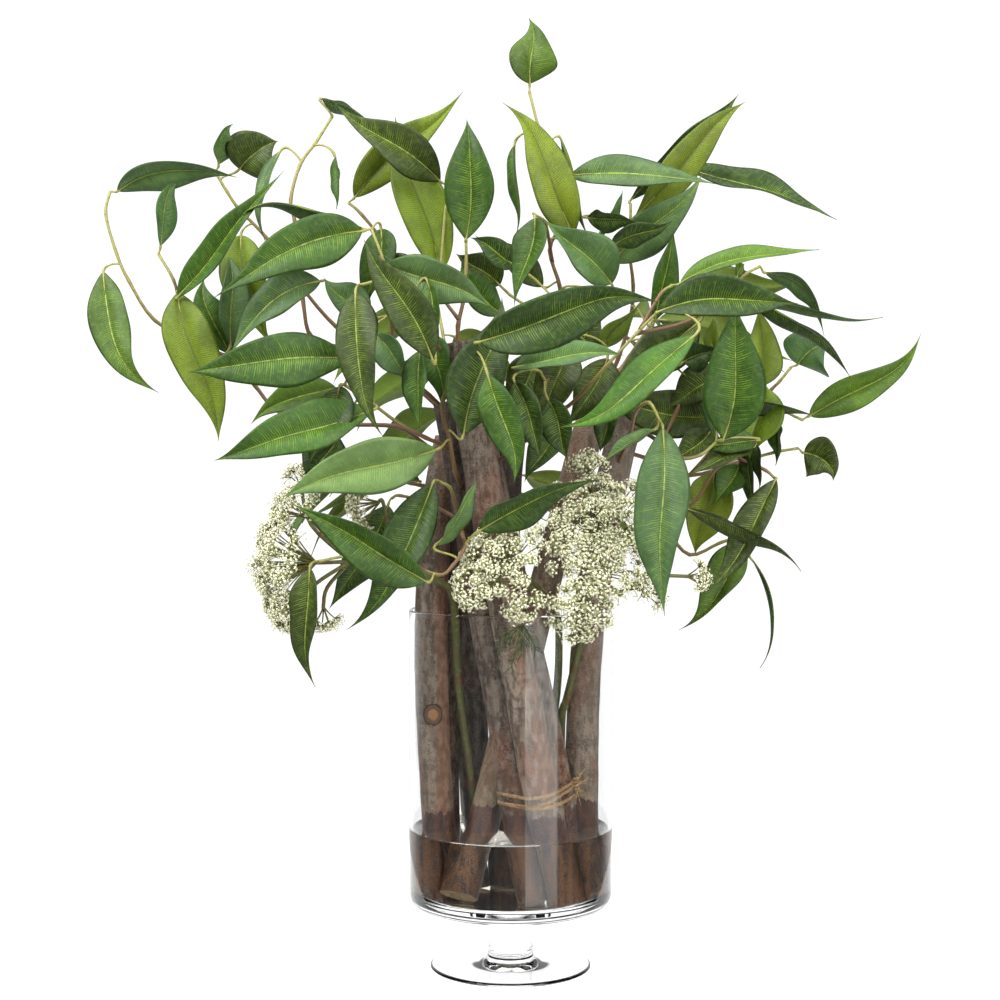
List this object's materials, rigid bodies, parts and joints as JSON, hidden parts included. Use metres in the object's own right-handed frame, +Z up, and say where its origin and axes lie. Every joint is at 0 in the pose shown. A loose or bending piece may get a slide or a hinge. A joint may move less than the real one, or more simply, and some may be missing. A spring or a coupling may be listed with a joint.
{
  "type": "vase of leafy stems",
  "caption": "Long-leaved leafy stems, bark-covered sticks and cream umbel flowers in clear water in a footed glass cylinder vase.",
  "frame": {"origin": "centre of the underside of the vase's foot", "axes": "+Z up along the vase's axis, +X to the right and +Y away from the viewer in the front view"},
  "size_m": [0.6142, 0.4008, 0.7034],
  "materials": {
    "glass": "clear polished glass",
    "water": "clear and still",
    "raffia": "dry twisted fibre",
    "bark": "thin grey-brown bark",
    "leaf": "satin leaf with pale veins",
    "flower": "matte small florets"
  },
  "bodies": {
    "root": {"glass_vase": "glass", "water": "water", "raffia_tie": "raffia", "stick_left": "bark", "stick_left_back": "bark", "stick_front": "bark", "stick_middle": "bark", "stick_leaning": "bark", "stick_inner": "bark", "stick_right": "bark", "stick_back": "bark", "stick_back_left": "bark", "spray_far_left": "leaf", "spray_left_top": "leaf", "spray_upper_left": "leaf", "spray_left": "leaf", "spray_centre_left": "leaf", "spray_upper_middle": "leaf", "spray_top": "leaf", "spray_upper_right": "leaf", "spray_right": "leaf", "spray_far_right": "leaf", "spray_right_middle": "leaf", "spray_lower_right": "leaf", "spray_front_right": "leaf", "spray_front": "leaf", "spray_centre_right": "leaf", "spray_lower_left": "leaf", "spray_back_left": "leaf", "spray_back_middle": "leaf", "spray_back": "leaf", "spray_back_right": "leaf", "flower_left": "flower", "flower_middle": "flower", "flower_right": "flower"}
  },
  "joints": []
}
